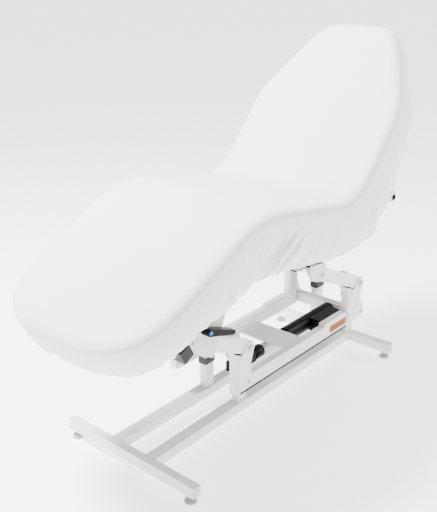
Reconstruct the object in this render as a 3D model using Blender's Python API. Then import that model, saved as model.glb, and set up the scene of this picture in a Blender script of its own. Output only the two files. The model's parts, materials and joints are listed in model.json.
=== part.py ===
"""Height-adjustable treatment bed: base, parallel-arm lift, and three hinged sections under a fitted cover."""

import math

import bmesh
import bpy
from mathutils import Vector
from mathutils.geometry import tessellate_polygon

for old in list(bpy.data.objects):
    bpy.data.objects.remove(old, do_unlink=True)

# Clearances and facets
GAP = 0.0003
PIN_GAP = 0.0004
ROUND = 20
SMOOTH_ANGLE = math.radians(35)
CUT_OVER = 0.010
WELD_IN = 0.001

# Where the whole bed stands: X of the base centre, so the outline is centred on the origin
BASE_X = 0.0240

# Base
FOOT_X = 0.588
FOOT_Y = 0.263
CROSS_WIDE = 0.030
CROSS_HALF = 0.289
TUBE_LOW = 0.028
TUBE_TOP = 0.066
BASE_TUBE_Y = (0.056, 0.099)
BASE_TUBE_LOW = 0.030
FOOT_PAD_R = 0.020
FOOT_PAD_HIGH = 0.010
FOOT_NUT_R = 0.009
FOOT_NUT_TOP = 0.022
FOOT_STEM_R = 0.0050
FOOT_STEM_TOP = 0.048
FOOT_HOLE_TOP = 0.050
BORE_R = FOOT_STEM_R + PIN_GAP
FOOT_PROFILE = (
    (0.0, FOOT_PAD_R - 0.001),
    (0.001, FOOT_PAD_R),
    (FOOT_PAD_HIGH - 0.003, FOOT_PAD_R),
    (FOOT_PAD_HIGH, FOOT_PAD_R - 0.004),
    (FOOT_PAD_HIGH, FOOT_NUT_R),
    (FOOT_NUT_TOP, FOOT_NUT_R),
    (FOOT_NUT_TOP, FOOT_STEM_R),
    (FOOT_STEM_TOP, FOOT_STEM_R),
)

# Posts on the base, with a rubber pad and a bearing bracket on each
POST_Y = (0.062, 0.090)
POST_X = {"foot": (-0.151, -0.107), "head": (0.563, 0.612)}
POST_TOP = {"foot": 0.163, "head": 0.225}
PAD_OVER = 0.0035
PAD_HIGH = 0.0245
HEAD_ARC = (math.radians(10), math.radians(190))

# Lift frame
RAIL_Y = (0.125, 0.1525)
RAIL_X = (-0.239, 0.505)
RAIL_Z = (0.160, 0.209)
RAIL_STEP_X = 0.300
RAIL_STEP_TOP = 0.221
UPRIGHT_X = {"foot": (-0.239, -0.189), "head": (0.455, 0.505)}
UPRIGHT_Y = (0.125, 0.155)
REST_HIGH = 0.0060
EAR_Y = (0.1528, 0.1580)
EAR_R = 0.022
EAR_LOW = 0.166
EAR_IN = 0.008
EAR_NECK = 0.030
EAR_WAIST = (0.002, 0.062)
EAR_BOLT = {"foot": (-0.007, 0.187), "head": (0.018, 0.187)}
EAR_BOLT_R = 0.021
EAR_BOLT_ARC = (-math.pi / 2, math.radians(50))
EAR_ARC = (math.radians(-40), math.radians(150))
REST_IN = 0.004
CROSS_PLATE_X = (0.070, 0.180)
CROSS_PLATE_Z = (0.199, 0.207)
REAR_CROSS_X = (0.510, 0.545)
REAR_CROSS_Z = (0.166, 0.206)
LABEL_X = (0.335, 0.450)
LABEL_Z = (0.172, 0.200)
LABEL_THICK = 0.0008

# Parallel arms
SHAFT = {"foot": (-0.168, 0.317), "head": (0.542, 0.317)}
ARM_RUN = 0.285
ARM_RISE = 0.127
ARM_HALF = 0.025
ARM_BEYOND = 0.022
SHAFT_R = 0.012
SHAFT_HALF = 0.1615
HUB_R = 0.029
LEVER_Y = (-0.039, -0.031)
LEVER_REACH = 0.1415
LEVER_LEAN = math.radians(25)
LEVER_HUB_R = 0.024
LEVER_TIP_R = 0.011

# Actuator
ACTUATOR_Y = -0.035
ACTUATOR_Z = 0.178
ROD_R = 0.0190
ROD_X = (-0.0020, 0.360)
CLEVIS_X = (-0.128, -0.072, -0.0023)
CLEVIS_SLOT = 0.0055
CLEVIS_HALF = 0.0205
TAIL_HALF = 0.010
HOUSING_X = (0.190, 0.505)
HOUSING_R = 0.030
HOUSING_WALL_END = 0.480
HOUSING_EDGE = 0.006
MOTOR_X = (0.340, 0.480)
MOTOR_Y = (-0.106, -0.055)
MOTOR_Z = (0.150, 0.206)

# Section planes: the two top corners seen from the side, and how each section leans
WAIST = (0.210, 0.769)
KNEE = (-0.313, 0.858)
SEAT_LEAN = math.radians(9.7)
BACK_LEAN = math.radians(49.0)
LEG_LEAN = math.radians(26.4)
SEAT_LONG = math.hypot(WAIST[0] - KNEE[0], WAIST[1] - KNEE[1])

# Cushions and cover, depths counted down from the covered surface
COVER_THICK = 0.0025
COVER_AIR = 0.0010
CUSHION_TOP = 0.0035
CUSHION_HALF = 0.302
SEAT_DEEP = 0.152
BACK_DEEP = 0.126
LEG_DEEP = 0.126
HEM = {"seat": 0.190, "back": 0.165, "leg": 0.165}
UNDER_EDGE = ((-0.014, 0.0), (-0.005, 0.004), (0.0, 0.012))
HEM_BAND = 0.020
EDGE_ROUND = ((0.0, 0.034), (0.003, 0.020), (0.010, 0.010), (0.020, 0.0035), (0.034, 0.0))
KNEE_PIVOT_DEEP = 0.170
WAIST_PIVOT_DEEP = 0.176
WAIST_BEVEL = math.radians(34.6)
END_GAP = 0.0010
LEG_PLAN = (
    (0.060, 0.0),
    (0.220, 0.0),
    (0.400, 0.0),
    (0.460, 0.004),
    (0.510, 0.019),
    (0.550, 0.047),
    (0.580, 0.087),
    (0.598, 0.142),
    (0.605, 0.200),
)
BACK_PLAN = (
    (0.0, 0.0),
    (0.180, 0.0),
    (0.340, 0.0),
    (0.420, 0.015),
    (0.500, 0.050),
    (0.600, 0.098),
    (0.665, 0.133),
    (0.693, 0.158),
    (0.703, 0.192),
)

# Section frames
SEAT_RAIL_DEEP = (0.2090, 0.2587)
SEAT_RAIL_S = (-0.101, 0.505)
SEAT_BAR_DEEP = (0.1525, 0.2150)
SEAT_BARS = ((-0.040, -0.012), (0.205, 0.233), (0.430, 0.458))
BAR_HALF = 0.240
THIN_RAIL_DEEP = (0.1270, 0.1560)
SIDE_RAIL_Y = (0.234, 0.2622)
SEAT_FOOT_S = (-0.0995, -0.0100)
SEAT_FOOT_DEEP = (0.2500, 0.2750)
BACK_RAIL_S = (0.040, 0.440)
BACK_BARS = ((0.040, 0.068), (0.230, 0.258), (0.412, 0.440))
LEG_RAIL_S = (0.085, 0.445)
LEG_BARS = ((0.085, 0.113), (0.240, 0.268))
LEG_TUBE_S = (0.396, 0.436)
LEG_TUBE_DEEP = (0.1500, 0.1920)
LEG_TUBE_HALF = 0.284
LUG_Y = {"fixed": (0.1985, 0.2045), "moving": (0.2055, 0.2115)}
LUG_R = 0.014
LUG_TIP_R = 0.0126
LUG_PIN_R = 0.006
LUG_PIN_IN = 0.003
SEAT_LUG_REACH = {"knee": (0.440, 0.185), "waist": (-0.025, 0.185)}
HINGED_LUG_DEEP = 0.142
BAR_SLIM = 0.002
RAIL_OVER = 0.004

# Brackets and clamp lever
BRACKET_Y = (0.1528, 0.1580)
BRACKET_PIN_R = 0.008
FOOT_BRACKET = (
    (-0.011, -0.018),
    (0.037, -0.054),
    (0.093, -0.085),
    (0.127, -0.024),
    (0.190, 0.135),
    (0.180, 0.180),
    (0.115, 0.172),
    (-0.022, 0.010),
)
HEAD_BRACKET = ((0.020, 0.044), (-0.078, 0.058), (-0.078, 0.000))
HEAD_BRACKET_R = 0.026
HEAD_BRACKET_ARC = (math.radians(240), math.radians(350))
ARM_PIN_Y = (0.127, 0.162)
SPINDLE_IN = 0.0155
BORE_IN = 0.0150
WELL_OVER = 0.0033
BACK_BRACKET_Y = (0.2625, 0.2675)
BACK_BRACKET_S = (0.075, 0.225)
BACK_BRACKET_FOOT = 0.1300
BACK_BRACKET_TIP = (0.168, 0.305)
BACK_LUG_R = 0.020
BACK_LUG_ARC = 1.2
CLAMP = (-0.4156, 0.4818)
CLAMP_Y = (-0.1985, -0.1700)
CLAMP_HUB_R = 0.013
CLAMP_SPINDLE_R = 0.005
HANDLE_LONG = 0.112
HANDLE_DROP = 0.040
HANDLE_TIP_R = 0.008
BUTTON_R = 0.0065
BUTTON_Y = (-0.2025, -0.1895)

PAINT = {}


def material(name, colour, metallic, roughness):
    made = bpy.data.materials.new(name)
    made.use_nodes = True
    shader = made.node_tree.nodes["Principled BSDF"]
    shader.inputs["Base Color"].default_value = (*colour, 1.0)
    shader.inputs["Metallic"].default_value = metallic
    shader.inputs["Roughness"].default_value = roughness
    PAINT[name] = made


def paints():
    material("white_paint", (0.86, 0.86, 0.85), 0.0, 0.38)
    material("cream_paint", (0.78, 0.76, 0.70), 0.0, 0.42)
    material("bronze_paint", (0.12, 0.11, 0.10), 0.0, 0.45)
    material("grey_rubber", (0.22, 0.22, 0.22), 0.0, 0.80)
    material("black_rubber", (0.03, 0.03, 0.03), 0.0, 0.80)
    material("black_plastic", (0.02, 0.02, 0.02), 0.0, 0.50)
    material("grey_plastic", (0.62, 0.62, 0.61), 0.0, 0.50)
    material("orange_label", (0.80, 0.30, 0.06), 0.0, 0.45)
    material("blue_plastic", (0.10, 0.35, 0.75), 0.0, 0.35)
    material("zinc_steel", (0.60, 0.60, 0.60), 1.0, 0.35)
    material("mocha_vinyl", (0.31, 0.23, 0.13), 0.0, 0.45)
    material("white_fabric", (0.88, 0.88, 0.87), 0.0, 0.85)


def solid(name, points, faces, paint, pivot=(0.0, 0.0), tool=False):
    """A mesh object from world points, its origin on the pivot's X and Z."""
    centre = Vector((pivot[0], 0.0, pivot[1]))
    mesh = bpy.data.meshes.new(name)
    shape = bmesh.new()
    corners = [shape.verts.new(Vector(p) - centre) for p in points]
    for face in faces:
        shape.faces.new([corners[i] for i in face])
    bmesh.ops.recalc_face_normals(shape, faces=shape.faces)
    shape.to_mesh(mesh)
    shape.free()
    mesh.materials.append(PAINT[paint])
    mesh.shade_smooth()
    mesh.set_sharp_from_angle(angle=SMOOTH_ANGLE)
    made = bpy.data.objects.new(name, mesh)
    made.location = centre + Vector((BASE_X, 0.0, 0.0))
    bpy.context.scene.collection.objects.link(made)
    if tool:
        made.hide_render = True
        made.display_type = "WIRE"
    return made


def change(target, tool, operation):
    """Joins or cuts the target with a hidden tool."""
    step = target.modifiers.new(tool.name, "BOOLEAN")
    step.operation = operation
    step.solver = "EXACT"
    step.object = tool


def loft(rings):
    """Points and faces of closed rings joined in order, capped at both ends."""
    count = len(rings[0])
    points = [p for ring in rings for p in ring]
    faces = [list(range(count))]
    for level in range(len(rings) - 1):
        low = level * count
        for i in range(count):
            after = (i + 1) % count
            faces.append([low + i, low + after, low + count + after])
            faces.append([low + i, low + count + after, low + count + i])
    top = (len(rings) - 1) * count
    faces.append([top + i for i in range(count)])
    return points, faces


def box(name, xs, ys, zs, paint, pivot=(0.0, 0.0), tool=False):
    square = [(xs[0], ys[0]), (xs[1], ys[0]), (xs[1], ys[1]), (xs[0], ys[1])]
    rings = [[(x, y, z) for x, y in square] for z in zs]
    points, faces = loft(rings)
    return solid(name, points, faces, paint, pivot, tool)


def circle(centre, radius, start=0.0, end=2 * math.pi, count=ROUND):
    """Points of an arc in the XZ plane, the end left out when it is a whole turn."""
    whole = abs(end - start - 2 * math.pi) < 1e-6
    steps = count if whole else count - 1
    arc = []
    for i in range(count):
        angle = start + (end - start) * i / steps
        arc.append((centre[0] + radius * math.cos(angle), centre[1] + radius * math.sin(angle)))
    return arc


def plate(name, outline, holes, ys, paint, pivot=(0.0, 0.0), tool=False):
    """An outline in the XZ plane given depth along Y, with holes through it."""
    loops = [outline] + holes
    flat = [p for loop in loops for p in loop]
    count = len(flat)
    caps = tessellate_polygon([[Vector((x, z, 0.0)) for x, z in loop] for loop in loops])
    points = [(x, ys[0], z) for x, z in flat] + [(x, ys[1], z) for x, z in flat]
    faces = [list(tri) for tri in caps]
    faces += [[i + count for i in reversed(tri)] for tri in caps]
    start = 0
    for loop in loops:
        for i in range(len(loop)):
            this = start + i
            after = start + (i + 1) % len(loop)
            faces.append([this, after, after + count, this + count])
        start += len(loop)
    return solid(name, points, faces, paint, pivot, tool)


def rod_y(name, centre, radius, ys, paint, pivot=(0.0, 0.0), tool=False):
    return plate(name, circle(centre, radius), [], ys, paint, pivot, tool)


def hull(one, one_r, two, two_r):
    """The outline round two circles of the XZ plane."""
    angle = math.atan2(two[1] - one[1], two[0] - one[0])
    span = math.dist(one, two)
    lean = math.acos((one_r - two_r) / span)
    first = circle(one, one_r, angle + lean, angle + 2 * math.pi - lean, ROUND // 2)
    second = circle(two, two_r, angle - lean, angle + lean, ROUND // 2)
    return first + second


def mirrored(ys, side):
    """A span of Y on the left (side -1) or the right (side 1)."""
    return tuple(sorted((ys[0] * side, ys[1] * side)))


SIDES = {"left": -1, "right": 1}
ENDS = {"foot": -1, "head": 1}


def seat_at(s, y, deep):
    """World point from a distance toward the knee and a depth below the seat's surface."""
    along = (-math.cos(SEAT_LEAN), math.sin(SEAT_LEAN))
    down = (-math.sin(SEAT_LEAN), -math.cos(SEAT_LEAN))
    return (WAIST[0] + along[0] * s + down[0] * deep, y, WAIST[1] + along[1] * s + down[1] * deep)


def back_at(s, y, deep):
    along = (math.cos(BACK_LEAN), math.sin(BACK_LEAN))
    down = (math.sin(BACK_LEAN), -math.cos(BACK_LEAN))
    return (WAIST[0] + along[0] * s + down[0] * deep, y, WAIST[1] + along[1] * s + down[1] * deep)


def leg_at(s, y, deep):
    along = (-math.cos(LEG_LEAN), -math.sin(LEG_LEAN))
    down = (math.sin(LEG_LEAN), -math.cos(LEG_LEAN))
    return (KNEE[0] + along[0] * s + down[0] * deep, y, KNEE[1] + along[1] * s + down[1] * deep)


WAIST_HALF_BEND = (SEAT_LEAN + BACK_LEAN) / 2
KNEE_HALF_BEND = (SEAT_LEAN + LEG_LEAN) / 2
WAIST_PIVOT = seat_at(-WAIST_PIVOT_DEEP * math.tan(WAIST_HALF_BEND), 0.0, WAIST_PIVOT_DEEP)[::2]
KNEE_SHIFT = KNEE_PIVOT_DEEP * math.tan(KNEE_HALF_BEND)
KNEE_PIVOT = seat_at(SEAT_LONG - KNEE_SHIFT, 0.0, KNEE_PIVOT_DEEP)[::2]
UPPER = {end: (SHAFT[end][0] - ARM_RUN, SHAFT[end][1] + ARM_RISE) for end in ENDS}


# Base


def cross_tubes():
    for end, sign in ENDS.items():
        x = FOOT_X * sign
        half = CROSS_WIDE / 2
        span = (x - half, x + half)
        tube = box(f"cross_tube_{end}", span, (-CROSS_HALF, CROSS_HALF), (TUBE_LOW, TUBE_TOP), "white_paint")
        for side, hand in SIDES.items():
            stem = ((TUBE_LOW - CUT_OVER, BORE_R), (FOOT_HOLE_TOP, BORE_R))
            hole = foot_shape(f"hole_{end}_{side}", x, FOOT_Y * hand, stem, True)
            change(tube, hole, "DIFFERENCE")


def foot_shape(name, x, y, profile, tool=False):
    """A round solid about a vertical line from pairs of height and radius."""
    rings = []
    for height, radius in profile:
        rings.append([(x + px, y + py, height) for px, py in circle((0.0, 0.0), radius)])
    points, faces = loft(rings)
    return solid(name, points, faces, "grey_plastic", (x, 0.0), tool)


def feet():
    for end, sign in ENDS.items():
        for side, hand in SIDES.items():
            foot_shape(f"foot_{end}_{side}", FOOT_X * sign, FOOT_Y * hand, FOOT_PROFILE)


def base_tubes():
    inner = FOOT_X - CROSS_WIDE / 2 - GAP
    for side, hand in SIDES.items():
        box(
            f"base_tube_{side}",
            (-inner, inner),
            mirrored(BASE_TUBE_Y, hand),
            (BASE_TUBE_LOW, TUBE_TOP),
            "white_paint",
        )


def posts():
    for end in ENDS:
        left, right = POST_X[end]
        top = POST_TOP[end]
        pad_top = top + GAP + PAD_HIGH
        for side, hand in SIDES.items():
            ys = mirrored(POST_Y, hand)
            wide = (ys[0] - PAD_OVER, ys[1] + PAD_OVER)
            long = (left - PAD_OVER, right + PAD_OVER)
            box(f"post_{end}_{side}", (left, right), ys, (TUBE_TOP + GAP, top), "white_paint")
            box(f"post_pad_{end}_{side}", long, wide, (top + GAP, pad_top), "grey_rubber")
            bearing(f"bearing_{end}_{side}", SHAFT[end], (left, right), pad_top + GAP, ys)


def bearing(name, hub, xs, low, ys):
    """A bracket standing on the pad and carrying the shaft in a round head."""
    head = circle(hub, HUB_R, *HEAD_ARC, ROUND // 2 + 2)
    outline = [(xs[0], low), (xs[1], low)] + head
    plate(name, outline, [circle(hub, SHAFT_R + PIN_GAP)], ys, "cream_paint")


# Lift frame


def side_rails():
    outline = [
        (RAIL_X[0], RAIL_Z[0]),
        (RAIL_X[1], RAIL_Z[0]),
        (RAIL_X[1], RAIL_Z[1]),
        (UPRIGHT_X["head"][0] - GAP, RAIL_Z[1]),
        (UPRIGHT_X["head"][0] - GAP, RAIL_STEP_TOP),
        (RAIL_STEP_X, RAIL_STEP_TOP),
        (RAIL_STEP_X, RAIL_Z[1]),
        (RAIL_X[0], RAIL_Z[1]),
    ]
    for side, hand in SIDES.items():
        plate(f"side_rail_{side}", outline, [], mirrored(RAIL_Y, hand), "white_paint")


def cross_members():
    inner = RAIL_Y[0] - GAP
    box("cross_plate", CROSS_PLATE_X, (-inner, inner), CROSS_PLATE_Z, "white_paint")
    wide = EAR_Y[0] - GAP
    box("rear_cross", REAR_CROSS_X, (-wide, wide), REAR_CROSS_Z, "white_paint")


def arm_underside(end, x):
    """Height of a resting arm's underside at X."""
    slope = math.atan2(ARM_RISE, ARM_RUN)
    hub = SHAFT[end]
    return hub[1] + (hub[0] - x) * math.tan(slope) - ARM_HALF / math.cos(slope)


def sloped_block(end, xs, low, drop):
    """A side outline whose top runs a set distance under the resting arm; a low of None makes a pad."""
    top = [(xs[1], arm_underside(end, xs[1]) - drop), (xs[0], arm_underside(end, xs[0]) - drop)]
    if low is None:
        return [(top[1][0], top[1][1] - REST_HIGH), (top[0][0], top[0][1] - REST_HIGH)] + top
    return [(xs[0], low), (xs[1], low)] + top


def uprights():
    """Each upright has its ear plate on the outside, which holds the end of a shaft."""
    for end in ENDS:
        xs = UPRIGHT_X[end]
        hub = SHAFT[end]
        edge = xs[0] + EAR_IN
        bolt = (hub[0] + EAR_BOLT[end][0], EAR_BOLT[end][1])
        outline = [(edge, EAR_LOW)]
        outline += circle(bolt, EAR_BOLT_R, *EAR_BOLT_ARC, ROUND // 2)
        outline += [(hub[0] + EAR_WAIST[0], hub[1] - EAR_WAIST[1])]
        outline += circle(hub, EAR_R, *EAR_ARC, ROUND // 2)
        outline += [(edge, hub[1] - EAR_NECK)]
        block = sloped_block(end, xs, RAIL_Z[1] + GAP, REST_HIGH + 2 * GAP)
        pad = sloped_block(end, (xs[0] + REST_IN, xs[1] - REST_IN), None, GAP)
        for side, hand in SIDES.items():
            body = plate(f"upright_{end}_{side}", block, [], mirrored(UPRIGHT_Y, hand), "white_paint")
            hole = circle(hub, SHAFT_R + PIN_GAP)
            ear_y = mirrored(EAR_Y, hand)
            ear = plate(f"ear_{end}_{side}", outline, [hole], ear_y, "white_paint", tool=True)
            change(body, ear, "UNION")
            plate(f"rest_pad_{end}_{side}", pad, [], mirrored(RAIL_Y, hand), "black_rubber")


def label():
    face = RAIL_Y[1] + GAP
    box("label", LABEL_X, (-face - LABEL_THICK, -face), LABEL_Z, "orange_label")


# Parallel arms


def shafts():
    for end in ENDS:
        rod_y(f"shaft_{end}", SHAFT[end], SHAFT_R, (-SHAFT_HALF, SHAFT_HALF), "zinc_steel", SHAFT[end])


def arms():
    rise = math.atan2(ARM_RISE, -ARM_RUN)
    for end in ENDS:
        low = SHAFT[end]
        high = UPPER[end]
        along = (math.cos(rise), math.sin(rise))
        tip = (high[0] + along[0] * ARM_BEYOND, high[1] + along[1] * ARM_BEYOND)
        across = (-along[1] * ARM_HALF, along[0] * ARM_HALF)
        outline = circle(low, ARM_HALF, rise - math.pi * 1.5, rise - math.pi * 0.5, ROUND // 2)
        outline += [(tip[0] - across[0], tip[1] - across[1]), (tip[0] + across[0], tip[1] + across[1])]
        holes = [circle(low, SHAFT_R + PIN_GAP), circle(high, BRACKET_PIN_R + PIN_GAP)]
        for side, hand in SIDES.items():
            plate(f"arm_{end}_{side}", outline, holes, mirrored(RAIL_Y, hand), "white_paint", low)


def lift_lever():
    hub = SHAFT["foot"]
    tip = (hub[0] + LEVER_REACH * math.sin(LEVER_LEAN), hub[1] - LEVER_REACH * math.cos(LEVER_LEAN))
    hole = circle(hub, SHAFT_R + PIN_GAP)
    plate("lift_lever", hull(hub, LEVER_HUB_R, tip, LEVER_TIP_R), [hole], LEVER_Y, "black_plastic", hub)


# Actuator


def ring_x(x, radius):
    """A ring of points round the actuator's axis."""
    return [(x, ACTUATOR_Y + py, ACTUATOR_Z + pz) for py, pz in circle((0.0, 0.0), radius)]


def actuator():
    rings = [
        ring_x(HOUSING_X[0], HOUSING_R - HOUSING_EDGE),
        ring_x(HOUSING_X[0] + HOUSING_EDGE, HOUSING_R),
        ring_x(HOUSING_X[1], HOUSING_R),
    ]
    points, faces = loft(rings)
    housing = solid("actuator_housing", points, faces, "black_plastic")
    motor = box("motor", MOTOR_X, MOTOR_Y, MOTOR_Z, "black_plastic", tool=True)
    tail_x = (HOUSING_X[1] - CUT_OVER, REAR_CROSS_X[0] - GAP)
    tail_y = (ACTUATOR_Y - TAIL_HALF, ACTUATOR_Y + TAIL_HALF)
    tail_z = (ACTUATOR_Z - TAIL_HALF, ACTUATOR_Z + TAIL_HALF)
    tail = box("tail", tail_x, tail_y, tail_z, "black_plastic", tool=True)
    mouth = ring_x(HOUSING_X[0] - CUT_OVER, ROD_R + GAP)
    points, faces = loft([mouth, ring_x(HOUSING_WALL_END, ROD_R + GAP)])
    bore = solid("bore", points, faces, "black_plastic", tool=True)
    change(housing, motor, "UNION")
    change(housing, tail, "UNION")
    change(housing, bore, "DIFFERENCE")


def actuator_rod():
    points, faces = loft([ring_x(ROD_X[0], ROD_R), ring_x(ROD_X[1], ROD_R)])
    solid("actuator_rod", points, faces, "zinc_steel")


def clevis():
    """A slotted block on the rod's end that straddles the lift lever without a pin through it."""
    low = ACTUATOR_Y - CLEVIS_HALF
    high = ACTUATOR_Y + CLEVIS_HALF
    outline = [
        (CLEVIS_X[2], low),
        (CLEVIS_X[2], high),
        (CLEVIS_X[0], high),
        (CLEVIS_X[0], ACTUATOR_Y + CLEVIS_SLOT),
        (CLEVIS_X[1], ACTUATOR_Y + CLEVIS_SLOT),
        (CLEVIS_X[1], ACTUATOR_Y - CLEVIS_SLOT),
        (CLEVIS_X[0], ACTUATOR_Y - CLEVIS_SLOT),
        (CLEVIS_X[0], low),
    ]
    heights = (ACTUATOR_Z - ROD_R, ACTUATOR_Z + ROD_R)
    points, faces = loft([[(x, y, z) for x, y in outline] for z in heights])
    solid("rod_clevis", points, faces, "black_plastic")


# Cushions and covers


def depths(deep):
    """Depth and inset pairs of a cushion, from its surface to its underside."""
    sides = [(CUSHION_TOP + down, inset) for down, inset in EDGE_ROUND]
    return sides + [(deep + up, inset) for up, inset in UNDER_EDGE]


def cushion_ring(at, starts, plan, deep, inset):
    """One level of a cushion: down one side, round its far end and back."""
    start = starts(deep)
    rows = [(start, plan[0][1])] + list(plan[1:])
    long = rows[-1][0] - start
    ring = []
    for s, narrow in rows:
        along = start + (s - start) * (long - inset) / long
        ring.append((along, CUSHION_HALF - narrow - inset))
    ring += [(s, -y) for s, y in reversed(ring)]
    return [at(s, y, deep) for s, y in ring]


def knee_end(shift):
    return lambda deep: shift + END_GAP


def waist_end(deep):
    """Both ends at the waist are cut back so that the back can be raised further."""
    top = WAIST_PIVOT_DEEP * (math.tan(WAIST_BEVEL) - math.tan(WAIST_HALF_BEND))
    return top - deep * math.tan(WAIST_BEVEL) + END_GAP


def seat_ring(deep, inset):
    start = waist_end(deep)
    stop = SEAT_LONG - KNEE_SHIFT - END_GAP
    half = CUSHION_HALF - inset
    ring = [(start, half), (stop, half), (stop, -half), (start, -half)]
    return [seat_at(s, y, deep) for s, y in ring]


def cushions():
    rings = [seat_ring(deep, inset) for deep, inset in depths(SEAT_DEEP)]
    solid("seat_cushion", *loft(rings), "mocha_vinyl")
    rings = [cushion_ring(back_at, waist_end, BACK_PLAN, deep, inset) for deep, inset in depths(BACK_DEEP)]
    solid("back_cushion", *loft(rings), "mocha_vinyl", WAIST_PIVOT)
    start = knee_end(KNEE_SHIFT)
    rings = [cushion_ring(leg_at, start, LEG_PLAN, deep, inset) for deep, inset in depths(LEG_DEEP)]
    solid("leg_cushion", *loft(rings), "mocha_vinyl", KNEE_PIVOT)


def cover_levels(section, inside):
    """Depth and outward growth of a cover's levels, on its outer or its inner face."""
    grow = COVER_AIR if inside else COVER_AIR + COVER_THICK
    top = CUSHION_TOP - grow
    levels = []
    for down, inset in EDGE_ROUND:
        levels.append((top + down, inset - grow))
    hem = HEM[section]
    levels.append((hem - HEM_BAND, -grow))
    levels.append((hem, -grow))
    return levels


def sheet(name, outer, inner, closed_far, paint, pivot):
    """A thin skin from matching outer and inner levels, left open at the hinged end."""
    count = len(outer[0])
    half = count // 2
    under = len(outer) * count
    points = [p for level in outer + inner for p in level]
    near = [list(range(count))]
    for level in range(len(outer) - 1):
        low = level * count
        for i in range(count - 1):
            if not closed_far and i == half - 1:
                continue
            near.append([low + i, low + i + 1, low + count + i + 1])
            near.append([low + i, low + count + i + 1, low + count + i])
    faces = near + [[i + under for i in reversed(face)] for face in near]
    used = {}
    for face in near:
        for a, b in zip(face, face[1:] + face[:1]):
            key = (min(a, b), max(a, b))
            used[key] = used.get(key, 0) + 1
    for (a, b), times in used.items():
        if times == 1:
            faces.append([a, b, b + under, a + under])
    return solid(name, points, faces, paint, pivot)


def covers():
    outer = [seat_ring(deep, inset) for deep, inset in cover_levels("seat", False)]
    inner = [seat_ring(deep, inset) for deep, inset in cover_levels("seat", True)]
    sheet("seat_cover", outer, inner, False, "white_fabric", (0.0, 0.0))
    for section, at, starts, plan, pivot in (
        ("back", back_at, waist_end, BACK_PLAN, WAIST_PIVOT),
        ("leg", leg_at, knee_end(KNEE_SHIFT), LEG_PLAN, KNEE_PIVOT),
    ):
        levels = {}
        for inside in (False, True):
            pairs = cover_levels(section, inside)
            levels[inside] = [cushion_ring(at, starts, plan, deep, inset) for deep, inset in pairs]
        sheet(f"{section}_cover", levels[False], levels[True], True, "white_fabric", pivot)


# Section frames


def bar(name, at, ss, ys, deeps, paint, pivot=(0.0, 0.0), tool=False):
    """A straight tube given by its span along, across and below a section."""
    square = [(ss[0], ys[0]), (ss[1], ys[0]), (ss[1], ys[1]), (ss[0], ys[1])]
    rings = [[at(s, y, deep) for s, y in square] for deep in deeps]
    points, faces = loft(rings)
    return solid(name, points, faces, paint, pivot, tool)


def seat_frame():
    wide = (-BAR_HALF, BAR_HALF)
    frame = bar("seat_frame", seat_at, SEAT_BARS[0], wide, SEAT_BAR_DEEP, "bronze_paint")
    for i, ss in enumerate(SEAT_BARS[1:]):
        cross = bar(f"seat_bar_{i}", seat_at, ss, wide, SEAT_BAR_DEEP, "bronze_paint", tool=True)
        change(frame, cross, "UNION")
    for side, hand in SIDES.items():
        ys = mirrored(RAIL_Y, hand)
        rail = bar(f"seat_rail_{side}", seat_at, SEAT_RAIL_S, ys, SEAT_RAIL_DEEP, "bronze_paint", tool=True)
        change(frame, rail, "UNION")
        slim = (ys[0] + WELD_IN, ys[1] - WELD_IN)
        foot = bar(f"seat_foot_{side}", seat_at, SEAT_FOOT_S, slim, SEAT_FOOT_DEEP, "bronze_paint", tool=True)
        change(frame, foot, "UNION")
        for name, pivot in (("knee", KNEE_PIVOT), ("waist", WAIST_PIVOT)):
            s, deep = SEAT_LUG_REACH[name]
            shape = hull(pivot, LUG_R, seat_at(s, 0.0, deep)[::2], LUG_R)
            hole = circle(pivot, LUG_PIN_R + PIN_GAP)
            ys = mirrored(LUG_Y["fixed"], hand)
            lug = plate(f"{name}_lug_{side}", shape, [hole], ys, "bronze_paint", tool=True)
            change(frame, lug, "UNION")


def hinged_frame(name, at, bars, rail_s, pivot, reach):
    """A back or leg frame: two rails, cross bars, and a lug with a pin at each side."""
    wide = (-SIDE_RAIL_Y[0] - CUT_OVER, SIDE_RAIL_Y[0] + CUT_OVER)
    inner = (THIN_RAIL_DEEP[0] + BAR_SLIM, THIN_RAIL_DEEP[1] - BAR_SLIM)
    frame = bar(name, at, bars[0], wide, THIN_RAIL_DEEP, "bronze_paint", pivot)
    for i, ss in enumerate(bars[1:]):
        cross = bar(f"{name}_bar_{i}", at, ss, wide, inner, "bronze_paint", pivot, True)
        change(frame, cross, "UNION")
    for side, hand in SIDES.items():
        ys = mirrored(SIDE_RAIL_Y, hand)
        long = (rail_s[0] - RAIL_OVER, rail_s[1] + RAIL_OVER)
        deeps = (THIN_RAIL_DEEP[0] + WELD_IN, THIN_RAIL_DEEP[1] + WELD_IN)
        rail = bar(f"{name}_rail_{side}", at, long, ys, deeps, "bronze_paint", pivot, True)
        change(frame, rail, "UNION")
        lug_y = mirrored(LUG_Y["moving"], hand)
        shape = hull(pivot, LUG_R, reach, LUG_TIP_R)
        lug = plate(f"{name}_lug_{side}", shape, [], lug_y, "bronze_paint", pivot, True)
        change(frame, lug, "UNION")
        pin_y = mirrored((LUG_Y["fixed"][0] - LUG_PIN_IN, LUG_Y["moving"][1] - LUG_PIN_IN), hand)
        pin = rod_y(f"{name}_pin_{side}", pivot, LUG_PIN_R, pin_y, "bronze_paint", pivot, True)
        change(frame, pin, "UNION")
    return frame


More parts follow.
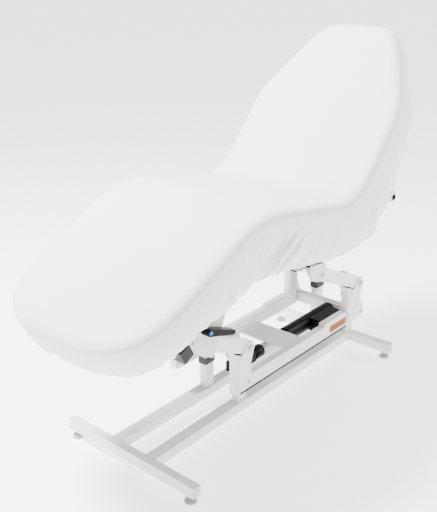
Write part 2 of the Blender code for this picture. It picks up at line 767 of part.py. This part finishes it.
def hinged_frames():
    reach = back_at(sum(BACK_BARS[0]) / 2, 0.0, HINGED_LUG_DEEP)[::2]
    hinged_frame("back_frame", back_at, BACK_BARS, BACK_RAIL_S, WAIST_PIVOT, reach)
    reach = leg_at(sum(LEG_BARS[0]) / 2, 0.0, HINGED_LUG_DEEP)[::2]
    frame = hinged_frame("leg_frame", leg_at, LEG_BARS, LEG_RAIL_S, KNEE_PIVOT, reach)
    wide = (-LEG_TUBE_HALF, LEG_TUBE_HALF)
    tube = bar("leg_tube", leg_at, LEG_TUBE_S, wide, LEG_TUBE_DEEP, "bronze_paint", KNEE_PIVOT, True)
    change(frame, tube, "UNION")


def back_brackets():
    """Small triangular plates on the outside of the back frame, each ending in a rounded lug."""
    corners = [back_at(s, 0.0, BACK_BRACKET_FOOT)[::2] for s in BACK_BRACKET_S]
    tip = back_at(BACK_BRACKET_TIP[0], 0.0, BACK_BRACKET_TIP[1])[::2]
    outward = BACK_LEAN - math.pi / 2
    outline = corners + circle(tip, BACK_LUG_R, outward + BACK_LUG_ARC, outward - BACK_LUG_ARC, ROUND // 2)
    for side, hand in SIDES.items():
        plate(f"back_bracket_{side}", outline, [], mirrored(BACK_BRACKET_Y, hand), "cream_paint", WAIST_PIVOT)


def arm_brackets():
    """Plates under the top frame that carry the upper arm pins."""
    low = UPPER["foot"]
    foot = [(low[0] + dx, low[1] + dz) for dx, dz in FOOT_BRACKET]
    high = UPPER["head"]
    head = [(high[0] + dx, high[1] + dz) for dx, dz in HEAD_BRACKET]
    head += circle(high, HEAD_BRACKET_R, *HEAD_BRACKET_ARC, ROUND // 2)
    for end, outline in (("foot", foot), ("head", head)):
        for side, hand in SIDES.items():
            ys = mirrored(BRACKET_Y, hand)
            body = plate(f"arm_bracket_{end}_{side}", outline, [], ys, "cream_paint")
            pin_y = mirrored(ARM_PIN_Y, hand)
            pin = rod_y(f"arm_pin_{end}_{side}", UPPER[end], BRACKET_PIN_R, pin_y, "cream_paint", tool=True)
            change(body, pin, "UNION")
            if end == "foot" and side == "left":
                spindle_y = (CLAMP_Y[0] + SPINDLE_IN, -BRACKET_Y[0] - BAR_SLIM)
                spindle = rod_y("spindle", CLAMP, CLAMP_SPINDLE_R, spindle_y, "cream_paint", tool=True)
                change(body, spindle, "UNION")


def clamp_lever():
    """A hub on the spindle with a straight round-ended handle, bored for its push button."""
    end = (CLAMP[0] + HANDLE_LONG, CLAMP[1] - HANDLE_DROP)
    shape = hull(CLAMP, CLAMP_HUB_R, end, HANDLE_TIP_R)
    body = plate("clamp_lever", shape, [], CLAMP_Y, "black_plastic", CLAMP)
    bore_y = (CLAMP_Y[0] + BORE_IN, CLAMP_Y[1] + CUT_OVER)
    bore = rod_y("spindle_bore", CLAMP, CLAMP_SPINDLE_R + PIN_GAP, bore_y, "black_plastic", CLAMP, True)
    change(body, bore, "DIFFERENCE")
    well_y = (CLAMP_Y[0] - CUT_OVER, BUTTON_Y[1] + WELL_OVER)
    well = rod_y("button_well", CLAMP, BUTTON_R + PIN_GAP, well_y, "black_plastic", CLAMP, True)
    change(body, well, "DIFFERENCE")


def lever_button():
    rod_y("lever_button", CLAMP, BUTTON_R, BUTTON_Y, "blue_plastic", CLAMP)


def build():
    paints()
    cross_tubes()
    base_tubes()
    feet()
    posts()
    side_rails()
    cross_members()
    uprights()
    label()
    shafts()
    arms()
    lift_lever()
    actuator()
    actuator_rod()
    clevis()
    cushions()
    covers()
    seat_frame()
    hinged_frames()
    back_brackets()
    arm_brackets()
    clamp_lever()
    lever_button()


build()
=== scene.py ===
"""Looks of the treatment bed: cover, cushions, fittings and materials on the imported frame."""

import json
import math

import bmesh
import bpy
import numpy as np
from mathutils import Matrix, Vector, noise


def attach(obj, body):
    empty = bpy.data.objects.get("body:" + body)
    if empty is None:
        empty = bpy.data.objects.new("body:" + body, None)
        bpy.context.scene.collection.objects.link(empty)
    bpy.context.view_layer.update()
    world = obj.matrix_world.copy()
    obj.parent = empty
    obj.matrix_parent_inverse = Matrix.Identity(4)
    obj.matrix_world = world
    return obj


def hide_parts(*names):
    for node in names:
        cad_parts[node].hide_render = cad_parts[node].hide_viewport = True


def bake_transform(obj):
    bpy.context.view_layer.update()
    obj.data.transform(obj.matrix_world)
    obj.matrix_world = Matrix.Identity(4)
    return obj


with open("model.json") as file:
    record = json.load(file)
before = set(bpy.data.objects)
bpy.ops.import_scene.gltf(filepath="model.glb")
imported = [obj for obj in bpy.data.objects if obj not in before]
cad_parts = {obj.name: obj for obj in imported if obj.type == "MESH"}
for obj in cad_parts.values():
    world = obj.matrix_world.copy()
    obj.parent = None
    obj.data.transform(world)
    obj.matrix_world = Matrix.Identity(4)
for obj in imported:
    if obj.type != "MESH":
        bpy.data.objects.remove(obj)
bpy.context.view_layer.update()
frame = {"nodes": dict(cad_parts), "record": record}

# Driving dimensions, in metres; X of the base centre, then the two top corners seen from the side
BASE_X = 0.0240
WAIST = (0.210 + BASE_X, 0.769)
KNEE = (-0.313 + BASE_X, 0.858)
SEAT_LEAN = math.radians(9.7)
BACK_LEAN = math.radians(49.0)
LEG_LEAN = math.radians(26.4)
SEAT_LONG = math.hypot(WAIST[0] - KNEE[0], WAIST[1] - KNEE[1])


# Camera

CAMERA_AT = (-1.946 + BASE_X, -1.554, 1.533)
CAMERA_RIGHT = (0.6520, -0.7582, -0.0060)
CAMERA_UP = (0.2800, 0.2340, 0.9310)


def add_camera():
    eye = bpy.data.cameras.new("camera")
    eye.lens = 53.29
    eye.sensor_width = 36.0
    eye.clip_end = 200.0
    right = Vector(CAMERA_RIGHT).normalized()
    up = Vector(CAMERA_UP)
    up = (up - up.dot(right) * right).normalized()
    turn = Matrix((right, up, right.cross(up))).transposed().to_4x4()
    turn.translation = Vector(CAMERA_AT)
    camera = bpy.data.objects.new("camera", eye)
    camera.matrix_world = turn
    bpy.context.scene.collection.objects.link(camera)
    bpy.context.scene.camera = camera


add_camera()


# Materials

GRAIN_DEEP = 0.0004
KNIT_SCALE = 620.0
KNIT_DEEP = 0.0006
WAVE_SCALE = 26.0
WAVE_DEEP = 0.004


def new_material(name):
    made = bpy.data.materials.new(name)
    made.use_nodes = True
    tree = made.node_tree
    return made, tree, tree.nodes["Principled BSDF"]


def add_bump(tree, height, strength, distance):
    bump = tree.nodes.new("ShaderNodeBump")
    bump.inputs["Strength"].default_value = strength
    bump.inputs["Distance"].default_value = distance
    tree.links.new(height, bump.inputs["Height"])
    return bump


def add_range(tree, value, low, high):
    spread = tree.nodes.new("ShaderNodeMapRange")
    spread.inputs["To Min"].default_value = low
    spread.inputs["To Max"].default_value = high
    tree.links.new(value, spread.inputs["Value"])
    return spread.outputs["Result"]


def add_noise(tree, where, scale, detail):
    texture = tree.nodes.new("ShaderNodeTexNoise")
    texture.inputs["Scale"].default_value = scale
    texture.inputs["Detail"].default_value = detail
    tree.links.new(where, texture.inputs["Vector"])
    return texture.outputs["Fac"]


def add_cells(tree, where, scale):
    texture = tree.nodes.new("ShaderNodeTexVoronoi")
    texture.inputs["Scale"].default_value = scale
    tree.links.new(where, texture.inputs["Vector"])
    return texture.outputs["Distance"]


def finish(
    name,
    colour,
    rough,
    metal=0.0,
    tint=0.03,
    grain=900.0,
    bump=0.08,
    blotch=14.0,
    spread=0.08,
    coat=0.0,
    sheen=0.0,
    shine=0.5,
    cells=False,
):
    """A surface with slow colour and roughness change and a fine bumped grain."""
    made, tree, shader = new_material(name)
    where = tree.nodes.new("ShaderNodeTexCoord").outputs["Object"]
    slow = add_noise(tree, where, blotch, 6.0)
    mix = tree.nodes.new("ShaderNodeVectorMath")
    mix.operation = "SCALE"
    mix.inputs[0].default_value = colour
    tree.links.new(add_range(tree, slow, 1.0 - tint, 1.0 + tint), mix.inputs["Scale"])
    tree.links.new(mix.outputs["Vector"], shader.inputs["Base Color"])
    rub = add_range(tree, slow, max(0.02, rough - spread), min(1.0, rough + spread))
    tree.links.new(rub, shader.inputs["Roughness"])
    height = add_cells(tree, where, grain) if cells else add_noise(tree, where, grain, 3.0)
    raised = add_bump(tree, height, bump, GRAIN_DEEP)
    tree.links.new(raised.outputs["Normal"], shader.inputs["Normal"])
    shader.inputs["Metallic"].default_value = metal
    shader.inputs["Coat Weight"].default_value = coat
    shader.inputs["Specular IOR Level"].default_value = shine
    shader.inputs["Sheen Weight"].default_value = sheen
    return made


def fabric():
    """White stretch terry: a fine knit under soft, slow unevenness, with a little sheen."""
    look = {"tint": 0.012, "blotch": 5.0, "spread": 0.05, "sheen": 0.25}
    made = finish("white_fabric", (0.85, 0.85, 0.845), 0.90, **look)
    tree = made.node_tree
    where = tree.nodes.new("ShaderNodeTexCoord").outputs["Object"]
    waves = add_bump(tree, add_noise(tree, where, WAVE_SCALE, 5.0), 0.25, WAVE_DEEP)
    knit = add_bump(tree, add_cells(tree, where, KNIT_SCALE), 0.5, KNIT_DEEP)
    tree.links.new(waves.outputs["Normal"], knit.inputs["Normal"])
    tree.links.new(knit.outputs["Normal"], tree.nodes["Principled BSDF"].inputs["Normal"])
    return made


RUBBER = {"grain": 500.0, "bump": 0.4}
PLASTIC = {"grain": 700.0}
SMOOTH = {"tint": 0.05, "bump": 0.05}
DEEP_BLACK = (0.0025, 0.0025, 0.0027)
MOCHA = (0.315, 0.225, 0.127)

FINISHES = {
    "white_paint": dict(colour=(0.80, 0.80, 0.79), rough=0.36, tint=0.02, bump=0.25, coat=0.15),
    "cream_paint": dict(colour=(0.70, 0.685, 0.64), rough=0.40, bump=0.25, coat=0.1),
    "bronze_paint": dict(colour=(0.022, 0.020, 0.018), rough=0.50, tint=0.10, bump=0.30, shine=0.15),
    "grey_rubber": dict(RUBBER, colour=(0.055, 0.055, 0.052), rough=0.82, tint=0.15, shine=0.25),
    "black_rubber": dict(RUBBER, colour=(0.006, 0.006, 0.006), rough=0.78, tint=0.2, shine=0.15),
    "black_plastic": dict(PLASTIC, colour=DEEP_BLACK, rough=0.38, tint=0.2, bump=0.35, shine=0.08),
    "grey_plastic": dict(PLASTIC, colour=(0.34, 0.34, 0.33), rough=0.50, tint=0.08, bump=0.3),
    "orange_label": dict(SMOOTH, colour=(0.30, 0.068, 0.0), rough=0.42, shine=0.2),
    "blue_plastic": dict(SMOOTH, colour=(0.008, 0.10, 0.42), rough=0.30, coat=0.15, shine=0.3),
    "zinc_steel": dict(colour=(0.56, 0.56, 0.55), rough=0.34, metal=1.0, tint=0.06, grain=400.0, bump=0.15),
    "mocha_vinyl": dict(colour=MOCHA, rough=0.44, tint=0.06, grain=420.0, bump=0.5, cells=True),
}
LOOKS = {name: finish(name, **look) for name, look in FINISHES.items()}
LOOKS["white_fabric"] = fabric()

EDGE_WIDE = 0.0012
SHARP = math.radians(40)
SOFT_EDGED = ("white_paint", "cream_paint", "bronze_paint", "black_plastic", "grey_rubber", "black_rubber")

slots = {part["node"]: part["material_slot"] for part in frame["record"]["subparts"]}
for name, node in frame["nodes"].items():
    node.data.materials.clear()
    node.data.materials.append(LOOKS[slots[name]])
    if slots[name] in SOFT_EDGED:
        edge = node.modifiers.new("edge", "BEVEL")
        edge.width = EDGE_WIDE
        edge.segments = 2
        edge.limit_method = "ANGLE"
        edge.angle_limit = SHARP
        edge.harden_normals = True
        node.data.shade_smooth()
        node.data.set_sharp_from_angle(angle=SHARP)


def add_object(name, mesh):
    made = bpy.data.objects.new(name, mesh)
    bpy.context.scene.collection.objects.link(made)
    return made


# The fitted cover: a plan in (s, y) bent along the bed's side outline, with a skirt hanging below it.
# s runs from the foot end through the knee at 0 and the waist at SEAT_LONG to the head end.

BEND_HALF = 0.115
BEND_STEPS = 24
BENDS = ((0.0, KNEE, LEG_LEAN, -SEAT_LEAN), (SEAT_LONG, WAIST, -SEAT_LEAN, BACK_LEAN))
NEAR_SHIFT = -0.003


def curve_run(before, after, length):
    """X and Z covered by a path whose lean changes evenly over its length."""
    x = z = 0.0
    for i in range(BEND_STEPS):
        here = before + (after - before) * (i + 0.5) / BEND_STEPS
        x += math.cos(here) * length / BEND_STEPS
        z += math.sin(here) * length / BEND_STEPS
    return x, z


def bend_point(corner, before, after, share):
    """A point of a rounded corner; the curve is shorter than the corner, so the rest is spread along it."""
    lean = before + (after - before) * share
    part = curve_run(before, lean, 2 * BEND_HALF * share)
    whole = curve_run(before, after, 2 * BEND_HALF)
    miss_x = (math.cos(before) + math.cos(after)) * BEND_HALF - whole[0]
    miss_z = (math.sin(before) + math.sin(after)) * BEND_HALF - whole[1]
    x = corner[0] - math.cos(before) * BEND_HALF + part[0] + miss_x * share
    z = corner[1] - math.sin(before) * BEND_HALF + part[1] + miss_z * share
    return x, z, lean


def side_outline(s):
    """X, Z and lean of the covered surface's centre line at s."""
    for centre, corner, before, after in BENDS:
        if abs(s - centre) < BEND_HALF:
            return bend_point(corner, before, after, (s - centre + BEND_HALF) / (2 * BEND_HALF))
    if s < 0:
        corner, lean, run = KNEE, LEG_LEAN, s
    elif s < SEAT_LONG:
        corner, lean, run = KNEE, -SEAT_LEAN, s
    else:
        corner, lean, run = WAIST, BACK_LEAN, s - SEAT_LONG
    return corner[0] + math.cos(lean) * run, corner[1] + math.sin(lean) * run, lean


def bent(s, y, deep):
    x, z, lean = side_outline(s)
    return (x + math.sin(lean) * deep, y + NEAR_SHIFT, z - math.cos(lean) * deep)


HALF = 0.3105
PLAN = (
    (-0.612, 0.118),
    (-0.604, 0.172),
    (-0.585, 0.226),
    (-0.554, 0.266),
    (-0.511, 0.292),
    (-0.460, 0.305),
    (-0.400, HALF),
    (0.0, HALF),
    (SEAT_LONG, HALF),
    (SEAT_LONG + 0.200, HALF + 0.003),
    (SEAT_LONG + 0.340, HALF + 0.003),
    (SEAT_LONG + 0.420, 0.303),
    (SEAT_LONG + 0.500, 0.268),
    (SEAT_LONG + 0.600, 0.220),
    (SEAT_LONG + 0.665, 0.186),
    (SEAT_LONG + 0.700, 0.160),
    (SEAT_LONG + 0.714, 0.122),
)
HEM = (
    (-0.62, 0.140),
    (-0.50, 0.136),
    (-0.35, 0.138),
    (-0.28, 0.158),
    (-0.22, 0.168),
    (-0.15, 0.176),
    (-0.05, 0.195),
    (0.10, 0.200),
    (0.45, 0.194),
    (0.50, 0.206),
    (0.57, 0.232),
    (0.65, 0.220),
    (0.80, 0.194),
    (0.90, 0.182),
    (1.25, 0.165),
)
CUT = SEAT_LONG * 0.52
ROUND_IN = 0.036
ROWS = 300
COLS = 64
SIDE_LEVELS = 22
TUCK_LEVELS = 4
CROWN = 0.007
CROWN_END = 0.12
EDGE = (
    (0.0000, 0.0000),
    (0.0010, 0.0090),
    (0.0035, 0.0175),
    (0.0085, 0.0255),
    (0.0160, 0.0315),
    (0.0255, 0.0350),
    (0.0370, ROUND_IN),
)
BELLY = 0.003
CURL = 0.020
TUCK = 0.030
TUCK_SAG = 0.004
SLOW_SCALE = 5.0
SLOW_SIZE = 0.0022
PULL_SCALE = 16.0
PULL_SIZE = 0.0009
GATHER_SCALE = 46.0
FINE_GATHER_SCALE = 95.0
FOLD_FROM = 0.055
FOLD_OVER = 0.10
FOLD_SIZE = 0.0095
CALM_HALF = 0.016
CREASE_GROW = 0.05
CLOTH_THICK = 0.0016

# Tension creases: where each starts along the bed, its slant, the depth it starts at, its width and its size
CREASES = (
    (0.190, 1.00, 0.050, 0.0095, 0.0110),
    (0.235, 0.90, 0.065, 0.0090, 0.0100),
    (0.135, 1.10, 0.070, 0.0095, 0.0105),
    (0.075, 1.10, 0.095, 0.0090, 0.0085),
    (0.290, 0.60, 0.105, 0.0100, 0.0050),
    (0.020, 0.90, 0.105, 0.0100, 0.0050),
    (SEAT_LONG - 0.07, -0.40, 0.060, 0.0120, 0.0040),
    (SEAT_LONG + 0.06, 0.30, 0.060, 0.0120, 0.0040),
    (-0.12, 0.70, 0.080, 0.0110, 0.0050),
    (-0.22, 0.60, 0.075, 0.0110, 0.0050),
    (-0.33, 0.50, 0.070, 0.0110, 0.0045),
    (-0.45, 0.40, 0.060, 0.0120, 0.0040),
    (-0.56, 0.30, 0.060, 0.0120, 0.0040),
)


def read_off(table, s):
    return float(np.interp(s, [row[0] for row in table], [row[1] for row in table]))


def folds(s, y, deep, around):
    """How far the cloth stands off: slow unevenness, and gathers that grow toward the hem."""
    slow = noise.noise(Vector((s * SLOW_SCALE, y * SLOW_SCALE, 0.3))) * SLOW_SIZE
    pull = noise.noise(Vector((s * PULL_SCALE, y * PULL_SCALE, 4.0))) * PULL_SIZE
    near_hem = max(0.0, min(1.0, (deep - FOLD_FROM) / FOLD_OVER))
    gather = noise.noise(Vector((around * GATHER_SCALE, 1.7, deep * 4.0)))
    gather += 0.5 * noise.noise(Vector((around * FINE_GATHER_SCALE, 5.1, deep * 5.0)))
    calm = 1.0 - math.exp(-(((s - CUT) / CALM_HALF) ** 2))
    return slow + (pull + gather * FOLD_SIZE * near_hem**1.4) * calm


def crease(s, deep):
    """How far the creases draw the cloth in, with a soft ridge beside each."""
    amount = 0.0
    for start, slant, deep_from, width, size in CREASES:
        if deep < deep_from:
            continue
        beside = s - start + slant * (deep - deep_from)
        reach = min(1.0, (deep - deep_from) / CREASE_GROW)
        ridge = 0.6 * math.exp(-((beside / width - 1.7) ** 2))
        amount += size * reach * (ridge - math.exp(-((beside / width) ** 2)))
    return amount


def top_rows():
    """The cover's top as rows of (s, y), set in from the plan's edge by the rounding."""
    first = PLAN[0][0]
    last = PLAN[-1][0]
    rows = []
    for s in np.linspace(first + ROUND_IN, last - ROUND_IN, ROWS):
        share = (s - first - ROUND_IN) / (last - first - 2 * ROUND_IN)
        wide = read_off(PLAN, first + (last - first) * share) - ROUND_IN
        rows.append([(s, wide * across) for across in np.linspace(-1.0, 1.0, COLS)])
    return rows


def top_point(s, y, wide, first, last):
    ends = min(1.0, (s - first) / CROWN_END, (last - s) / CROWN_END)
    crown = CROWN * (1 - (y / wide) ** 2) * max(0.0, ends)
    return bent(s, y, -crown - folds(s, y, 0.0, s))


def rim_indices():
    """Indices of the top's edge points in order round it."""
    loop = list(range(COLS))
    loop += [i * COLS + COLS - 1 for i in range(1, ROWS)]
    loop += [(ROWS - 1) * COLS + j for j in range(COLS - 2, -1, -1)]
    loop += [i * COLS for i in range(ROWS - 2, 0, -1)]
    return loop


def outward(points):
    """Smoothed outward directions round a closed loop of points."""
    ahead = np.roll(points, -1, axis=0) - np.roll(points, 1, axis=0)
    for _ in range(6):
        ahead = (np.roll(ahead, 1, axis=0) + 2 * ahead + np.roll(ahead, -1, axis=0)) / 4
    out = np.stack([ahead[:, 1], -ahead[:, 0]], axis=1)
    out /= np.linalg.norm(out, axis=1)[:, None]
    furthest = np.argmax(points[:, 0])
    return -out if out[furthest, 0] < 0 else out


def skirt(hem):
    """Depth and outward growth of each ring: round the edge, down the side and tucked under the hem."""
    deep_from, grown = EDGE[-1]
    rings = list(EDGE[1:])
    for k in range(1, SIDE_LEVELS + 1):
        share = k / SIDE_LEVELS
        belly = BELLY * math.sin(math.pi * share)
        rings.append((deep_from + (hem - deep_from) * share, grown + belly - CURL * share**4))
    for k in range(1, TUCK_LEVELS + 1):
        share = k / TUCK_LEVELS
        rings.append((hem + TUCK_SAG * math.sin(math.pi * share), grown - CURL - TUCK * share))
    return rings


def skirt_point(s, y, deep, around, out):
    push = folds(s, y, deep, around) + crease(s, deep)
    return bent(s + out[0] * push, y + out[1] * push, deep)


def build_cover():
    """The cover's points, its faces, and each point's place along the bed."""
    rows = top_rows()
    first = rows[0][0][0]
    last = rows[-1][0][0]
    flat = [p for row in rows for p in row]
    placed = [top_point(s, y, abs(row[0][1]), first, last) for row in rows for s, y in row]
    along = [s for s, _ in flat]
    faces = []
    for i in range(ROWS - 1):
        for j in range(COLS - 1):
            a = i * COLS + j
            faces.append((a, a + 1, a + 1 + COLS, a + COLS))
    previous = rim_indices()
    rim = np.array([flat[i] for i in previous])
    count = len(rim)
    out = outward(rim)
    around = np.concatenate([[0], np.cumsum(np.linalg.norm(np.diff(rim, axis=0), axis=1))])
    skirts = [skirt(read_off(HEM, s)) for s, _ in rim]
    for level in range(len(skirts[0])):
        ring = list(range(len(placed), len(placed) + count))
        for k in range(count):
            deep, grown = skirts[k][level]
            s, y = rim[k] + out[k] * grown
            along.append(s)
            placed.append(skirt_point(s, y, deep, around[k], out[k]))
        for k in range(count):
            after = (k + 1) % count
            faces.append((previous[k], ring[k], ring[after], previous[after]))
        previous = ring
    return placed, faces, along


def cover_part(name, placed, chosen):
    used = sorted({i for face in chosen for i in face})
    index = {old: new for new, old in enumerate(used)}
    mesh = bpy.data.meshes.new(name)
    mesh.from_pydata([placed[i] for i in used], [], [[index[i] for i in face] for face in chosen])
    mesh.validate()
    mesh.shade_smooth()
    mesh.materials.append(LOOKS["white_fabric"])
    made = add_object(name, mesh)
    thick = made.modifiers.new("thick", "SOLIDIFY")
    thick.thickness = CLOTH_THICK
    thick.offset = -1.0
    thick.use_rim = False
    return made


def cover_halves():
    """The cover as two meshes that meet across the middle of the seat, where nothing bends."""
    placed, faces, along = build_cover()
    middles = [sum(along[i] for i in face) / len(face) for face in faces]
    foot = [face for face, middle in zip(faces, middles, strict=True) if middle < CUT]
    head = [face for face, middle in zip(faces, middles, strict=True) if middle > CUT]
    return cover_part("cover_foot_half", placed, foot), cover_part("cover_head_half", placed, head)


foot_half, head_half = cover_halves()
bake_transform(foot_half)
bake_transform(head_half)
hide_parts("leg_cover")
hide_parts("seat_cover", "back_cover")


# Bolts, caps, and a black strip of painted shade under each side rail, each an outline in the XZ plane with
# a depth along Y

SHAFT = {"foot": (-0.168 + BASE_X, 0.317), "head": (0.542 + BASE_X, 0.317)}
UPPER = {"foot": (-0.453 + BASE_X, 0.444), "head": (0.257 + BASE_X, 0.444)}
EAR_BOLT = {"foot": (-0.175 + BASE_X, 0.187), "head": (0.560 + BASE_X, 0.187)}
SHAFT_FACE = 0.1617
EAR_FACE = 0.1582
PIN_FACE = 0.1622
BACK_FACE = 0.2677
BACK_TIP = (0.168, 0.305)
WASHER_WIDER = 1.35
WASHER_HIGH = 0.0012
HEAD_FROM = 0.0010
TUBE_X = {"foot": -0.588 + BASE_X, "head": 0.588 + BASE_X}
CAP_HALF = 0.0145
CAP_Z = (0.0285, 0.0655)
CAP_Y = (0.2891, 0.2908)
# Painted shade: a thin black strip under each side rail, put in place of the shadowed gap below it
SHADOW_STRIP_X = (-0.215 + BASE_X, 0.455 + BASE_X)
SHADOW_STRIP_Z = (0.1545, 0.1597)
SHADOW_STRIP_Y = (0.1300, 0.1545)
SLEEVE_AT = (0.0455, -0.035, 0.178)
SLEEVE_R = 0.0245
SLEEVE_LONG = 0.047


def finish_fitting(name, shape, edge, body, slot):
    """Bevels a shape, makes it an object and fastens it to its body."""
    bmesh.ops.bevel(shape, geom=list(shape.edges), offset=edge, segments=2, affect="EDGES", profile=0.5)
    mesh = bpy.data.meshes.new(name)
    shape.to_mesh(mesh)
    shape.free()
    mesh.shade_smooth()
    mesh.set_sharp_from_angle(angle=SHARP)
    mesh.materials.append(LOOKS[slot])
    made = add_object(name, mesh)
    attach(made, body)


def fitting(name, outline, ys, body, slot, edge=0.0005):
    """A small piece on both sides of the bed."""
    count = len(outline)
    faces = [list(range(count)), list(range(count, 2 * count))]
    faces += [[i, (i + 1) % count, (i + 1) % count + count, i + count] for i in range(count)]
    for side in (-1, 1):
        shape = bmesh.new()
        corners = [shape.verts.new((x, y * side, z)) for y in ys for x, z in outline]
        for face in faces:
            shape.faces.new([corners[i] for i in face])
        bmesh.ops.recalc_face_normals(shape, faces=shape.faces)
        finish_fitting(f"{name}_{side}", shape, edge, body, slot)


def round_outline(centre, radius, count):
    turns = [0.3 + 2 * math.pi * i / count for i in range(count)]
    return [(centre[0] + radius * math.cos(a), centre[1] + radius * math.sin(a)) for a in turns]


def block_outline(x, z):
    return [(x[0], z[0]), (x[1], z[0]), (x[1], z[1]), (x[0], z[1])]


def bolt(name, centre, face, body, radius, high=0.0045, slot="zinc_steel"):
    """A washer and a hexagon head."""
    washer = round_outline(centre, radius * WASHER_WIDER, 24)
    fitting(f"{name}_washer", washer, (face, face + WASHER_HIGH), body, slot, 0.0003)
    fitting(name, round_outline(centre, radius, 6), (face + HEAD_FROM, face + high), body, slot)


def back_point(s, deep):
    x = WAIST[0] + math.cos(BACK_LEAN) * s + math.sin(BACK_LEAN) * deep
    z = WAIST[1] + math.sin(BACK_LEAN) * s - math.cos(BACK_LEAN) * deep
    return x, z


def rod_sleeve():
    """A black sleeve on the rod next to its slotted end."""
    shape = bmesh.new()
    place = Matrix.Translation(SLEEVE_AT) @ Matrix.Rotation(math.pi / 2, 4, "Y")
    size = {"radius1": SLEEVE_R, "radius2": SLEEVE_R, "depth": SLEEVE_LONG}
    bmesh.ops.create_cone(shape, cap_ends=True, segments=48, matrix=place, **size)
    finish_fitting("rod_sleeve", shape, 0.0015, "rod", "black_plastic")


for end, arms in (("foot", "foot_arms"), ("head", "head_arms")):
    bolt(f"shaft_bolt_{end}", SHAFT[end], SHAFT_FACE, arms, 0.0080)
    bolt(f"ear_bolt_{end}", EAR_BOLT[end], EAR_FACE, "base", 0.0065)
    bolt(f"arm_bolt_{end}", UPPER[end], PIN_FACE, "top", 0.0050, 0.0035)
    cap = block_outline((TUBE_X[end] - CAP_HALF, TUBE_X[end] + CAP_HALF), CAP_Z)
    fitting(f"tube_cap_{end}", cap, CAP_Y, "base", "cream_paint")
bolt("back_bolt", back_point(*BACK_TIP), BACK_FACE, "back", 0.0080, 0.0055, "black_rubber")
# Painted shade: a thin black strip under each side rail, standing in for the shadowed gap below it
fitting("rail_shadow_strip", block_outline(SHADOW_STRIP_X, SHADOW_STRIP_Z), SHADOW_STRIP_Y, "base", "black_rubber", 0.0004)
rod_sleeve()


# Cushions

VOXEL = 0.007
DRAW_IN = 0.009
UNEVEN = 0.0012
UNEVEN_SCALE = 11.0


def baked(obj):
    """The object's shape with its modifiers applied, as a new mesh in the row frame."""
    bpy.context.view_layer.update()
    seen = obj.evaluated_get(bpy.context.evaluated_depsgraph_get())
    mesh = bpy.data.meshes.new_from_object(seen)
    mesh.transform(obj.matrix_world)
    return mesh


def soft_cushion(node, body):
    """An upholstered cushion a little inside the solid, with soft edges and a slightly uneven surface."""
    made = add_object(f"{node}_soft", baked(frame["nodes"][node]))
    voxels = made.modifiers.new("voxels", "REMESH")
    voxels.mode = "VOXEL"
    voxels.voxel_size = VOXEL
    relax = made.modifiers.new("relax", "SMOOTH")
    relax.iterations = 8
    relax.factor = 0.6
    draw_in = made.modifiers.new("draw_in", "DISPLACE")
    draw_in.strength = -DRAW_IN
    draw_in.mid_level = 0.0
    mesh = baked(made)
    normals = [vertex.normal.copy() for vertex in mesh.vertices]
    for vertex, normal in zip(mesh.vertices, normals, strict=True):
        vertex.co += normal * noise.noise(vertex.co * UNEVEN_SCALE) * UNEVEN
    mesh.shade_smooth()
    mesh.materials.clear()
    mesh.materials.append(LOOKS["mocha_vinyl"])
    made.modifiers.clear()
    made.data = mesh
    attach(made, body)
    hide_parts(node)


for node, body in (("seat_cushion", "top"), ("back_cushion", "back"), ("leg_cushion", "leg")):
    soft_cushion(node, body)


# Floor and light

FLOOR_HALF = 70
FLOOR_LOW = 0.0005
FLOOR_GLOW = 1.9
WORLD_STRENGTH = 1.1


def add_floor():
    mesh = bpy.data.meshes.new("floor")
    corners = [(x * FLOOR_HALF, y * FLOOR_HALF, 0) for x, y in ((-1, -1), (1, -1), (1, 1), (-1, 1))]
    mesh.from_pydata(corners, [], [(0, 1, 2, 3)])
    look, _, shader = new_material("floor")
    shader.inputs["Base Color"].default_value = (0.93, 0.93, 0.93, 1)
    shader.inputs["Roughness"].default_value = 0.9
    shader.inputs["Emission Color"].default_value = (1, 1, 1, 1)
    shader.inputs["Emission Strength"].default_value = FLOOR_GLOW
    mesh.materials.append(look)
    floor = add_object("floor", mesh)
    floor.location = (0, 0, -FLOOR_LOW)


def add_world():
    world = bpy.data.worlds.new("world")
    world.use_nodes = True
    sky = world.node_tree.nodes["Background"]
    sky.inputs["Color"].default_value = (1, 1, 1, 1)
    sky.inputs["Strength"].default_value = WORLD_STRENGTH
    bpy.context.scene.world = world


def area_light(name, where, power, size):
    data = bpy.data.lights.new(name, "AREA")
    data.energy = power
    data.size = size
    lamp = add_object(name, data)
    lamp.location = where
    aim = Vector((0, 0, 0.6)) - Vector(where)
    lamp.rotation_euler = aim.to_track_quat("-Z", "Y").to_euler()


add_floor()
add_world()
area_light("key", (-1.2, 1.4, 3.6), 620.0, 1.0)
area_light("fill", (2.6, -1.7, 1.5), 70.0, 1.0)
